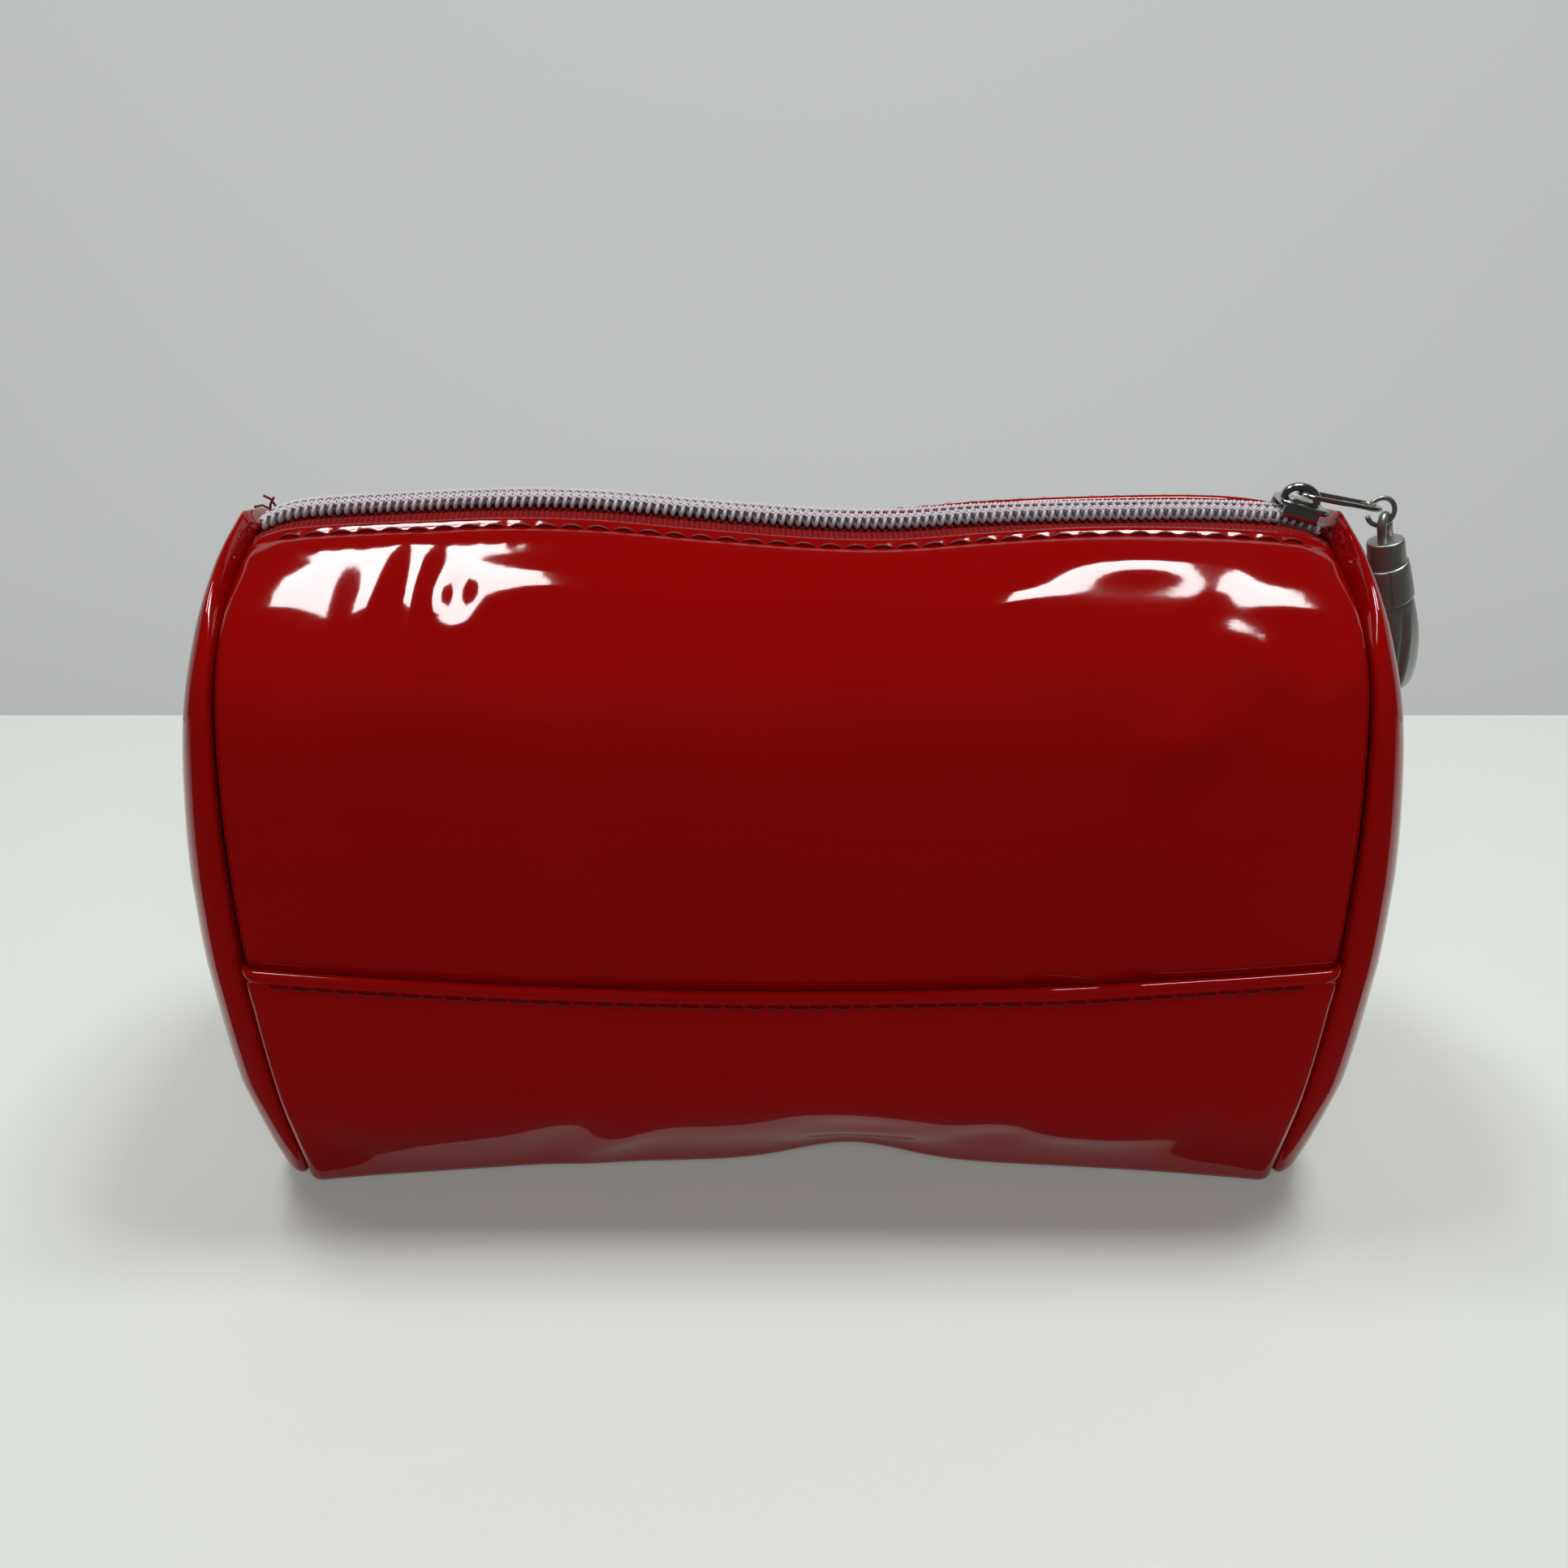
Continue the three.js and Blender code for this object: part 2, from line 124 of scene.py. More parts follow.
def start_finish(name):
    material = bpy.data.materials.new(name)
    material.use_nodes = True
    material.node_tree.nodes.clear()
    shade = Shade(material.node_tree)
    return material, shade, shade.node("ShaderNodeTexCoord", {}, {}, "Object")


def noise(place, scale, detail=2.0, stretch=(1, 1, 1)):
    moved = place.node("ShaderNodeMapping", {}, {"Vector": place, "Scale": stretch})
    return place.node("ShaderNodeTexNoise", {}, {"Vector": moved, "Scale": scale, "Detail": detail}, "Fac")


def waves(place, direction, scale):
    sockets = {"Vector": place, "Scale": scale}
    return place.node("ShaderNodeTexWave", {"bands_direction": direction}, sockets, "Fac")


def two_tone(mask, dark, light):
    sockets = {"Factor": mask, 6: (*dark, 1), 7: (*light, 1)}
    return mask.node("ShaderNodeMix", {"data_type": "RGBA"}, sockets, 2)


def raised(height, strength, distance):
    return height.node("ShaderNodeBump", {}, {"Height": height, "Strength": strength, "Distance": distance})


def end_finish(shade, **sockets):
    named = {name.replace("_", " "): value for name, value in sockets.items()}
    surface = shade.node("ShaderNodeBsdfPrincipled", {}, named, "BSDF")
    shade.node("ShaderNodeOutputMaterial", {}, {"Surface": surface})


vinyl, shade, place = start_finish("patent_vinyl")
cloud = noise(place, 18, 3)
peel = noise(place, 420, 2)
end_finish(
    shade,
    Base_Color=two_tone(cloud, (0.215, 0.0004, 0.0004), (0.260, 0.0008, 0.0007)),
    Roughness=0.04 + cloud * 0.05,
    IOR=1.47,
    Normal=raised(peel, 0.05, 0.0002),
)


# Side wall: the cross-section that the front and back panels share, from the base seam to the zip, as
# distance from the middle and height in mm. A panel is a sheet laid on it, lifted, dented and rolled
# under at its ends.
SIDE = [
    (27, 1.5), (36.8, 28), (42.3, 55), (43.2, 75), (41.5, 92),
    (36.5, 109), (27, 120.5), (17, 126.5), (8, 129.6),
]
HALF_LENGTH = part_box("base_panel")[1].x / MM
SEAM_ROLL = 2.6
SEAM_ROLL_REACH = 3.2
NEAR_ZIP = 30
BACK_EDGE_REACH = 16

# The zip line isn't straight: it rises on the left, sags right of the middle and drops into both end seams.
# Each table holds (x, change in mm) pairs.
ZIP_RISE = [
    (-97, -3.0), (-92, -0.8), (-86, 0.4), (-70, 1.3), (-50, 2.0), (-34, 1.7), (-16, 0.3), (2, -0.9),
    (18, -1.2), (34, -0.5), (52, -0.1), (72, 0.0), (84, -0.4), (91, -1.3), (97, -4.0),
]
ZIP_WANDER = [(-97, 0), (-50, 0.6), (-10, -0.8), (14, -1.8), (40, -0.6), (80, 0), (97, 0)]

# The back panel's turned edge stands lower than the coil on the left and above it on the right
BACK_RISE = [
    (-97, 0.4), (-85, -1.0), (-60, -2.6), (-20, -2.4), (0, -1.2),
    (20, 0.2), (50, 1.0), (80, 1.2), (97, 0),
]


def smooth_line(points, count=400):
    """Points of a smooth curve through the given ones, evenly spaced, as an array."""
    known = np.array(points, float)
    ends = np.vstack([2 * known[0] - known[1], known, 2 * known[-1] - known[-2]])
    share = np.linspace(0, len(known) - 1, count * 4)
    index = np.minimum(share.astype(int), len(known) - 2)
    t = (share - index)[:, None]
    a, b, c, d = (ends[index + k] for k in range(4))
    line = 0.5 * (2 * b + (c - a) * t + (2 * a - 5 * b + 4 * c - d) * t**2 + (3 * b - a - 3 * c + d) * t**3)
    run = np.concatenate([[0], np.cumsum(np.linalg.norm(np.diff(line, axis=0), axis=1))])
    even = np.linspace(0, run[-1], count)
    return np.stack([np.interp(even, run, line[:, k]) for k in range(line.shape[1])], 1)


SIDE_LINE = smooth_line(SIDE)
SIDE_LENGTH = float(np.linalg.norm(np.diff(SIDE_LINE, axis=0), axis=1).sum())
SIDE_RUN = np.linspace(0, SIDE_LENGTH, len(SIDE_LINE))
SIDE_SLOPE = np.gradient(SIDE_LINE, SIDE_RUN, axis=0)


def step(low, high, value):
    """0 below low, 1 above high, and a smooth rise between; it falls when low is the larger."""
    t = np.clip((value - low) / (high - low), 0, 1)
    return t * t * (3 - 2 * t)


def by_x(x, table):
    """A smooth value along the pouch, from (x, value) pairs."""
    line = smooth_line(table)
    return np.interp(x, line[:, 0], line[:, 1])


def on_side(x, run, lift, facing):
    """Places in mm of points on the front (facing -1) or back (facing 1) wall, lifted off it by lift."""
    distance = np.interp(run, SIDE_RUN, SIDE_LINE[:, 0])
    height = np.interp(run, SIDE_RUN, SIDE_LINE[:, 1])
    along_distance = np.interp(run, SIDE_RUN, SIDE_SLOPE[:, 0])
    along_height = np.interp(run, SIDE_RUN, SIDE_SLOPE[:, 1])
    distance = distance + along_height * lift
    height = height - along_distance * lift
    near_zip = step(SIDE_LENGTH - NEAR_ZIP, SIDE_LENGTH, run)
    height = height + near_zip * by_x(x, ZIP_RISE)
    if facing > 0:
        height = height + step(SIDE_LENGTH - BACK_EDGE_REACH, SIDE_LENGTH, run) * by_x(x, BACK_RISE)
    y = facing * distance + near_zip * by_x(x, ZIP_WANDER)
    return np.stack([x, y, height], -1)


def soft_dents(x, run, dents):
    """Sum of soft hollows (depth under 0) and swellings: (x, run, half width, half height, turn, depth)."""
    total = np.zeros_like(x)
    for at_x, at_run, wide, high, turn, depth in dents:
        angle = math.radians(turn)
        across = ((x - at_x) * math.cos(angle) + (run - at_run) * math.sin(angle)) / wide
        up = ((run - at_run) * math.cos(angle) - (x - at_x) * math.sin(angle)) / high
        total += depth * np.exp(-(across**2) - up**2)
    return total


def rolled_under(x):
    """The film turns down into the end seam over its last few millimetres."""
    into = np.clip(1 - (HALF_LENGTH - np.abs(x)) / SEAM_ROLL_REACH, 0, 1)
    return -SEAM_ROLL * (1 - np.sqrt(1 - into**2))


def laid_sheet(name, columns, rows, place):
    """A mesh grid whose corners run from (0, 0) to (1, 1), laid where place says, in mm."""
    mesh = bpy.data.meshes.new(name)
    grid = bmesh.new()
    bmesh.ops.create_grid(grid, x_segments=columns, y_segments=rows, size=0.5)
    grid.to_mesh(mesh)
    grid.free()
    flat = np.zeros(len(mesh.vertices) * 3)
    mesh.vertices.foreach_get("co", flat)
    across, up = flat.reshape(-1, 3)[:, 0] + 0.5, flat.reshape(-1, 3)[:, 1] + 0.5
    mesh.vertices.foreach_set("co", (place(across, up) * MM).ravel())
    return mesh


def finish_piece(mesh, name, material, outward=None, merge=False):
    """Turns a mesh the right way out, from a place inside it if one is given, and makes it an object."""
    work = bmesh.new()
    work.from_mesh(mesh)
    if merge:
        bmesh.ops.remove_doubles(work, verts=work.verts, dist=2e-6)
    if outward is None:
        bmesh.ops.recalc_face_normals(work, faces=work.faces)
    else:
        work.normal_update()
        inside = Vector(outward)
        facing_out = sum((f.calc_center_median() - inside).dot(f.normal) * f.calc_area() for f in work.faces)
        if facing_out < 0:
            bmesh.ops.reverse_faces(work, faces=work.faces)
    for face in work.faces:
        face.smooth = True
    work.to_mesh(mesh)
    work.free()
    mesh.materials.clear()
    mesh.materials.append(material)
    piece = bpy.data.objects.new(name, mesh)
    bpy.context.scene.collection.objects.link(piece)
    return piece


def thicken(piece, thickness):
    wall = piece.modifiers.new("wall", "SOLIDIFY")
    wall.thickness = thickness * MM
    wall.offset = -1
    return piece


# The mouth: each wall's share of its lip's turn, most in the middle and none at the end seams
MOUTH_HALF = 86
FOLD_HEIGHT = 100
FOLD_BELOW = 26
FOLD_ABOVE = 22
FOLD_RUN = float(np.interp(FOLD_HEIGHT, SIDE_LINE[:, 1], SIDE_RUN))
MIDDLE = (0, 0, 0.06)


def mouth_share(x, run):
    """How far each place follows its lip: 0 stays with the bag, 1 goes with the lip."""
    lens = np.clip(1 - (x / MOUTH_HALF) ** 2, 0, 1)
    return lens * step(FOLD_RUN - FOLD_BELOW, FOLD_RUN + FOLD_ABOVE, run)


def lean_with_mouth(piece, facing, shares):
    """Bakes a piece's place into its mesh and returns it."""
    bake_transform(piece)
    return piece


# Front and back panels: one piece of vinyl each, turned under at the zip and topstitched through the
# tape 3 mm from the edge, so the film sinks at the stitches and swells below them.
VINYL_THICK = 1.2
TOPSTITCH = 3.0
TOPSTITCH_PITCH = 4.5
BRINK = 1.1
PANEL_COLUMNS = 200
PANEL_ROWS = 190
EDGE_COLUMNS_WIDTH = 4
EDGE_DRAWN_IN = 4.5
EDGE_DRAWN_UP = 1.9
NOTCH_X = 12
NOTCH_WIDTH = 15
ARCH_HEIGHT = 26
FRONT_DENTS = [
    (-78, 130, 6, 6, -20, -0.5),
    (-72, 122, 4.5, 8, 15, 0.35),
    (-65, 129, 4.2, 12, -6, -0.9),
    (-56.5, 129, 3.0, 4.0, 0, -0.50),
    (-55, 121, 5.5, 4.5, 25, 0.45),
    (-45, 120, 7, 5, 20, -0.45),
    (-36, 131, 12, 4.0, -4, 0.55),
    (-22, 122, 14, 8, 6, 0.40),
    (-46, 110, 34, 9, -8, 0.55),
    (-84, 106, 9, 14, 0, 0.5),
    (36, 127.5, 12, 5.0, 22, 0.75),
    (60, 136, 13, 4.2, 2, 0.9),
    (56, 143, 20, 8, 0, 0.9),
    (72, 126, 4, 7, -30, -0.5),
    (80, 116, 8, 4.2, -35, 1.0),
    (92, 114, 3.6, 5, 0, 1.0),
    (65, 103, 8, 5.0, 15, 1.5),
    (74, 98, 9, 14, -25, -0.5),
    (0, 122, 24, 12, 0, -0.8),
    (-20, 96, 30, 12, 8, 0.4),
    (25, 80, 34, 12, -6, 0.5),
    (58, 76, 12, 20, -35, -0.6),
    (-70, 82, 18, 14, 20, -0.4),
]
BACK_DENTS = [
    (-52, 116, 26, 9, 6, 0.6),
    (40, 112, 20, 12, -10, -0.6),
    (64, 124, 14, 7, 8, 0.5),
    (-10, 84, 34, 12, -6, 0.4),
    (20, 46, 30, 14, 6, -0.6),
    (-60, 40, 24, 12, -12, 0.5),
    (74, 60, 10, 20, 10, 0.5),
]


def edge_columns(across):
    """Columns crowd at both ends, where the film rolls into the seam."""
    inner = HALF_LENGTH - EDGE_COLUMNS_WIDTH
    return np.interp(across, [0, 0.06, 0.94, 1], [-HALF_LENGTH, -inner, inner, HALF_LENGTH])


def stitched_edge(to_edge, x, pitch, setback):
    """Lift of a turned edge: rounded at its brink, sunk along the stitches, swelling on both sides."""
    past_brink = np.clip(1 - to_edge / BRINK, 0, 1)
    brink = -BRINK * (1 - np.sqrt(np.clip(1 - past_brink**2, 0, 1)))
    puff = 0.28 * np.exp(-(((to_edge - setback * 0.45) / 0.9) ** 2))
    between = 0.5 + 0.5 * np.cos(2 * math.pi * x / pitch)
    sunk = -(0.32 + 0.22 * between) * np.exp(-(((to_edge - setback) / 0.75) ** 2))
    swell = 0.22 * np.exp(-(((to_edge - setback - 3.4) / 2.2) ** 2)) * (0.75 + 0.25 * between)
    return brink + puff + sunk + swell


def base_arch(x, run):
    """The lower edge is drawn up and in between the corners that the pouch stands on, most at a notch."""
    notch = 0.8 * np.exp(-(((x - NOTCH_X) / NOTCH_WIDTH) ** 2))
    return (1 - (x / HALF_LENGTH) ** 2 + notch) * (1 - step(0, ARCH_HEIGHT, run))


def drawn_in(points, arch, facing):
    points[:, 1] -= facing * EDGE_DRAWN_IN * arch
    points[:, 2] += EDGE_DRAWN_UP * arch
    return points


def wall_points(x, run, facing, dents):
    to_edge = SIDE_LENGTH - run
    lift = soft_dents(x, run, dents) + rolled_under(x)
    lift = lift + stitched_edge(to_edge, x, TOPSTITCH_PITCH, TOPSTITCH)
    return drawn_in(on_side(x, run, lift, facing), base_arch(x, run), facing)


def make_panel(name, facing, dents, nodes):
    def place(across, up):
        return wall_points(edge_columns(across), up * SIDE_LENGTH, facing, dents)

    mesh = laid_sheet(name, PANEL_COLUMNS, PANEL_ROWS, place)
    xs = edge_columns(np.tile(np.linspace(0, 1, PANEL_COLUMNS + 1), PANEL_ROWS + 1))
    runs = np.repeat(np.linspace(0, 1, PANEL_ROWS + 1), PANEL_COLUMNS + 1) * SIDE_LENGTH
    piece = thicken(finish_piece(mesh, name, vinyl, outward=MIDDLE), VINYL_THICK)
    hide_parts(*nodes)
    return lean_with_mouth(piece, facing, mouth_share(xs, runs))


front = make_panel("front_wall", -1, FRONT_DENTS, ["front_panel", "front_panel_top"])
back = make_panel("back_wall", 1, BACK_DENTS, ["back_panel", "back_panel_top"])


# Slip pocket: a second vinyl panel over the lower front. Its mouth is a turned hem, stitched 3.5 mm below the
# fold; it sags in the middle and ripples on the right.
HEM_SETBACK = 3.5
HEM_PITCH = 3.8
HEM_HEIGHT = 61.2
HEM_SAG = 5.0
POCKET_STAND = 1.6
POCKET_DENTS = [
    (-46, 38, 8, 10, 30, -0.6),
    (14, 10, 12, 5, 8, 1.1),
    (6, 21, 16, 7, -12, -0.9),
    (-8, 30, 22, 8, -6, 0.8),
    (-34, 12, 5, 12, -35, 0.9),
    (-44, 14, 6, 12, -35, -0.7),
    (40, 14, 8, 6, 20, -0.9),
    (58, 16, 14, 5, -6, 0.8),
    (50, 50, 14, 8, 0, 0.7),
    (80, 14, 10, 8, 25, -0.8),
    (88, 22, 5, 12, -15, 0.6),
    (-74, 20, 16, 12, -15, 0.6),
    (-88, 12, 5, 8, 20, -0.6),
    (0, 44, 50, 12, 0, 0.5),
]


def hem_ripple(x):
    """Small waves in the hem, right of the middle."""
    return np.sin((x - 40) / 2.9) * np.exp(-(((x - 53) / 11) ** 2))


def hem_run(x):
    sagging = HEM_HEIGHT - HEM_SAG * (1 - (x / HALF_LENGTH) ** 2)
    return np.interp(sagging + 0.35 * hem_ripple(x), SIDE_LINE[:, 1], SIDE_RUN)


def pocket_points(x, share):
    top = hem_run(x)
    run = share * top
    to_edge = top - run
    ripple = 0.5 * hem_ripple(x) * np.exp(-((to_edge / 9) ** 2))
    lift = POCKET_STAND + soft_dents(x, run, POCKET_DENTS) + rolled_under(x) + ripple
    lift = lift + stitched_edge(to_edge, x, HEM_PITCH, HEM_SETBACK) + 0.5 * np.exp(-((to_edge / 2.4) ** 2))
    return drawn_in(on_side(x, run, lift, -1), base_arch(x, run), -1)


def pocket_sheet(across, up):
    """Rows crowd at the hem."""
    return pocket_points(edge_columns(across), np.interp(up, [0, 0.8, 1], [0, 0.9, 1]))


pocket_mesh = laid_sheet("slip_pocket", PANEL_COLUMNS, 100, pocket_sheet)
pocket = thicken(finish_piece(pocket_mesh, "slip_pocket", vinyl, outward=MIDDLE), VINYL_THICK)
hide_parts("front_pocket")
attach(pocket, "bag")


# End panels: D-shaped vinyl ends that bulge past the end seams. Each starts down in the seam, rounds
# over to a narrow strip beside the panels and domes outwards. The section is (distance in from the
# outline, rise) and the bulge is (height, share of that rise).
END_SECTION = [
    (2.6, 0.0), (1.3, 0.3), (0.5, 1.2), (0.3, 2.4), (0.8, 4.3), (2.2, 6.6), (5.0, 8.9), (9.0, 10.8),
    (14.0, 12.1), (20.0, 12.9), (28.0, 13.3), (44.0, 13.7),
]
END_BULGE = [
    (0, 0.62), (10, 0.80), (28, 0.97), (58, 1.0), (76, 0.95),
    (92, 0.84), (108, 0.72), (120, 0.62), (132, 0.56),
]
END_SHARE = {1: 0.95, -1: 0.89}
END_REACH = 44.0
STRIP_WIDTH = 14
END_CLEAR = 0.1
END_COLUMNS = 240
END_ROWS = 90
END_DENTS = [(-14, 92, 9, 14, 0.7), (12, 62, 12, 16, -0.9), (-10, 34, 14, 10, 0.6), (16, 100, 8, 10, -0.6)]
END_TOP = (0, 131.2)
END_MIDDLE = (0, 64)


def end_outline():
    """The closed outline of an end, as (y, height) points with their share of the way round."""
    half = np.vstack([SIDE_LINE[::4], [END_TOP]])
    whole = np.vstack([half, (half * [-1, 1])[::-1][1:]])
    foot = np.linspace(-SIDE[0][0], SIDE[0][0], 24)[1:-1]
    closed = np.vstack([whole, np.stack([foot, np.full_like(foot, 0.4)], 1), whole[:1]])
    run = np.concatenate([[0], np.cumsum(np.linalg.norm(np.diff(closed, axis=0), axis=1))])
    return run / run[-1], closed


def make_end(name, side, node, cut=END_SECTION, material=vinyl, thickness=VINYL_THICK):
    share, outline = end_outline()
    section = smooth_line(cut, 200)
    inset_run = np.linspace(0, 1, len(section))

    def place(across, up):
        edge = np.stack([np.interp(across, share, outline[:, k]) for k in range(2)], 1)
        to_middle = np.array(END_MIDDLE) - edge
        reach = np.linalg.norm(to_middle, axis=1)
        inset = np.interp(up, inset_run, section[:, 0])
        rise = np.interp(up, inset_run, section[:, 1])
        part = np.where(up < 1, inset / END_REACH, 1.0)
        to_centre = (inset - STRIP_WIDTH) / (END_REACH - STRIP_WIDTH)
        inward = np.where(inset < STRIP_WIDTH, inset, STRIP_WIDTH + (reach - STRIP_WIDTH) * to_centre)
        flat = edge + to_middle * (np.minimum(inward, reach) / reach)[:, None]
        bulge = np.interp(flat[:, 1], *np.array(END_BULGE).T) * END_SHARE[side]
        y, z = flat.T
        dented = sum(
            depth * np.exp(-(((y - side * at_y) / wide) ** 2) - ((z - at_z) / high) ** 2)
            for at_y, at_z, wide, high, depth in END_DENTS
        )
        x = side * (HALF_LENGTH + END_CLEAR + rise * bulge + dented * part)
        at_rim = step(112, 126, z) * (1 - step(0.0, 5.0, rise))
        z = z + at_rim * by_x(side * HALF_LENGTH, ZIP_RISE)
        return np.stack([x, y, z], 1)

    mesh = laid_sheet(name, END_COLUMNS, END_ROWS, place)
    piece = finish_piece(mesh, name, material, outward=(side * 0.09, 0, 0.06), merge=True)
    thicken(piece, thickness)
    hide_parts(node)
    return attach(piece, "bag")


right_end = make_end("right_end", 1, "right_end_panel")
left_end = make_end("left_end", -1, "left_end_panel")


# Base: a flat vinyl panel sewn to the walls and ends all round. Its long edges turn up into their seams, and
# they are drawn up with the walls between the corners.
BASE_THICK = 0.9
BASE_CLEAR = 0.05
BASE_SET_IN = 0.3
BASE_TURNED_UP = 1.4


def base_points(across, up):
    x = edge_columns(across)
    arch = base_arch(x, 0)
    y = (up * 2 - 1) * (SIDE[0][0] - BASE_SET_IN - EDGE_DRAWN_IN * arch)
    to_edge = np.abs(up * 2 - 1)
    turned_up = BASE_TURNED_UP * np.clip((to_edge - 0.88) / 0.12, 0, 1) ** 2
    drawn_up = EDGE_DRAWN_UP * arch * step(0.3, 1.0, to_edge)
    return np.stack([x, y, BASE_CLEAR + turned_up + drawn_up], 1)


base_mesh = laid_sheet("base", 120, 60, base_points)
base = thicken(finish_piece(base_mesh, "base", vinyl, outward=MIDDLE), BASE_THICK)
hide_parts("base_panel")
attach(base, "bag")


# Lining: dark plain-weave sheets, cut as the vinyl and sewn in at the same seams. They hang a little loose.
LINING_THICK = 0.5
LINING_SET_IN = 2.4
LINING_SLACK = 0.5
LINING_EDGE = 17
LINING_START = 1.2
LINING_HALF_LENGTH = HALF_LENGTH - 0.6
LINING_COLUMNS = 90
LINING_ROWS = 70
LINING_BASE_HALF = 23.5
LINING_BASE_HEIGHT = 2.6
LINING_BULGE = [
    (5.0, 0.2), (3.8, 2.2), (3.8, 4.2), (5.0, 6.0), (7.8, 7.6), (11.6, 9.0), (16, 10.2), (22, 11.0),
    (30, 11.5), (44, 11.8),
]

lining_cloth, shade, place = start_finish("lining_cloth")
weave = waves(place, "X", 900) * waves(place, "Z", 900)
faded = weave * 0.6 + noise(place, 60, 3) * 0.4
end_finish(
    shade,
    Base_Color=two_tone(faded, (0.010, 0.007, 0.008), (0.045, 0.032, 0.036)),
    Roughness=0.82,
    Normal=raised(weave, 0.5, 0.0002),
)

LINING_RUN = float(np.interp(-LINING_EDGE, -SIDE_LINE[:, 0], SIDE_RUN))


def lining_wall(name, facing, nodes):
    def place(across, up):
        x = (across * 2 - 1) * LINING_HALF_LENGTH
        run = LINING_START + up * (LINING_RUN - LINING_START)
        slack = LINING_SLACK * np.sin(x / 11 + facing) * np.sin(run / 14)
        points = on_side(x, run, np.minimum(slack, 0) - LINING_SET_IN, facing)
        return drawn_in(points, base_arch(x, run), facing)

    mesh = laid_sheet(name, LINING_COLUMNS, LINING_ROWS, place)
    piece = finish_piece(mesh, name, lining_cloth, outward=MIDDLE)
    thicken(piece, LINING_THICK)
    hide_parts(*nodes)
    xs = np.tile(np.linspace(-1, 1, LINING_COLUMNS + 1), LINING_ROWS + 1) * LINING_HALF_LENGTH
    shares = np.repeat(np.linspace(0, 1, LINING_ROWS + 1), LINING_COLUMNS + 1)
    runs = LINING_START + shares * (LINING_RUN - LINING_START)
    return lean_with_mouth(piece, facing, mouth_share(xs, runs))


lining_wall("lining_front_sheet", -1, ["lining_front", "lining_front_top"])
lining_wall("lining_back_sheet", 1, ["lining_back", "lining_back_top"])


def lining_base_points(across, up):
    x = (across * 2 - 1) * LINING_HALF_LENGTH
    arch = base_arch(x, 0)
    to_edge = np.abs(up * 2 - 1)
    y = (up * 2 - 1) * (LINING_BASE_HALF - EDGE_DRAWN_IN * arch)
    crease = 0.4 * np.sin(x / 9) * np.cos(y / 8)
    turned_up = EDGE_DRAWN_UP * arch * to_edge + BASE_TURNED_UP * to_edge**3
    return np.stack([x, y, LINING_BASE_HEIGHT + crease + turned_up], 1)


lining_base_mesh = laid_sheet("lining_base_sheet", 70, 30, lining_base_points)
lining_base = finish_piece(lining_base_mesh, "lining_base_sheet", lining_cloth, outward=MIDDLE)
thicken(lining_base, LINING_THICK)
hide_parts("lining_base")
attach(lining_base, "bag")
make_end("lining_right", 1, "lining_right_end", LINING_BULGE, lining_cloth, LINING_THICK)
make_end("lining_left", -1, "lining_left_end", LINING_BULGE, lining_cloth, LINING_THICK)


# Zip tapes: red polyester, woven with a rib at every pick. Each is stitched under a panel's turned edge,
# carries one coil along its inner edge, and bends down with it into the end seams.
TAPE_PROFILE = [(0.9, 128.95), (3.2, 129.0), (4.6, 129.1), (6.4, 128.7), (9.0, 127.7), (14.0, 125.8)]
TAPE_RIB = 0.95
TAPE_THICK = 0.45
TAPE_HALF = 96.0

zip_tape, shade, place = start_finish("zip_tape")
ribs = waves(place, "X", 330)
fuzz = noise(place, 900, 3)
end_finish(
    shade,
    Base_Color=two_tone(ribs * 0.5 + fuzz * 0.5, (0.060, 0.0008, 0.001), (0.30, 0.005, 0.005)),
    Roughness=0.7,
    Specular_IOR_Level=0.15,
    Normal=raised(ribs + fuzz * 0.5, 0.7, 0.0002),
)


def zip_tape_points(across, up, facing):
    x = (across * 2 - 1) * TAPE_HALF
    line = smooth_line(TAPE_PROFILE, 60)
    share = np.linspace(0, 1, len(line))
    distance = np.interp(up, share, line[:, 0])
    height = np.interp(up, share, line[:, 1])
    rib = 0.10 * np.sin(2 * math.pi * x / TAPE_RIB) * (1 - 0.4 * np.cos(distance * 5))
    cord = 0.22 * np.exp(-(((distance - 4.3) / 0.35) ** 2)) * (0.6 + 0.4 * np.sin(4 * math.pi * x / TAPE_RIB))
    y = facing * distance + by_x(x, ZIP_WANDER)
    return np.stack([x, y, height + rib + cord + by_x(x, ZIP_RISE)], 1)


def with_zip(piece, facing):
    """Bakes a piece of the zip in place; its share of the lip, most in the middle of the mouth, is worked out
    but not used.
    """
    places = np.zeros(len(piece.data.vertices) * 3)
    piece.data.vertices.foreach_get("co", places)
    xs = places[::3] / MM
    return lean_with_mouth(piece, facing, mouth_share(xs, np.full_like(xs, SIDE_LENGTH)))


for facing, name, nodes in (
    (-1, "front_tape", ["front_zip_tape", "right_tape_end"]),
    (1, "back_tape", ["back_zip_tape", "left_tape_end"]),
):
    tape_mesh = laid_sheet(name, 900, 16, lambda across, up: zip_tape_points(across, up, facing))
    tape = finish_piece(tape_mesh, name, zip_tape, outward=MIDDLE)
    thicken(tape, TAPE_THICK)
    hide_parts(*nodes)
    with_zip(tape, facing)


# Zip coils: two nylon wires wound as flattened helices that mesh, each sewn to its tape with a pale
# thread
COIL_PITCH = 1.5
COIL_WIRE = 0.72
COIL_AWAY = 1.25
COIL_REACH = 1.75
COIL_HALF_HEIGHT = 0.95
COIL_MIDDLE = 130.35
COIL_END = 95.6
COIL_STEPS = 14
SEWING_WIRE = 0.42
SEWING_STEPS = 8

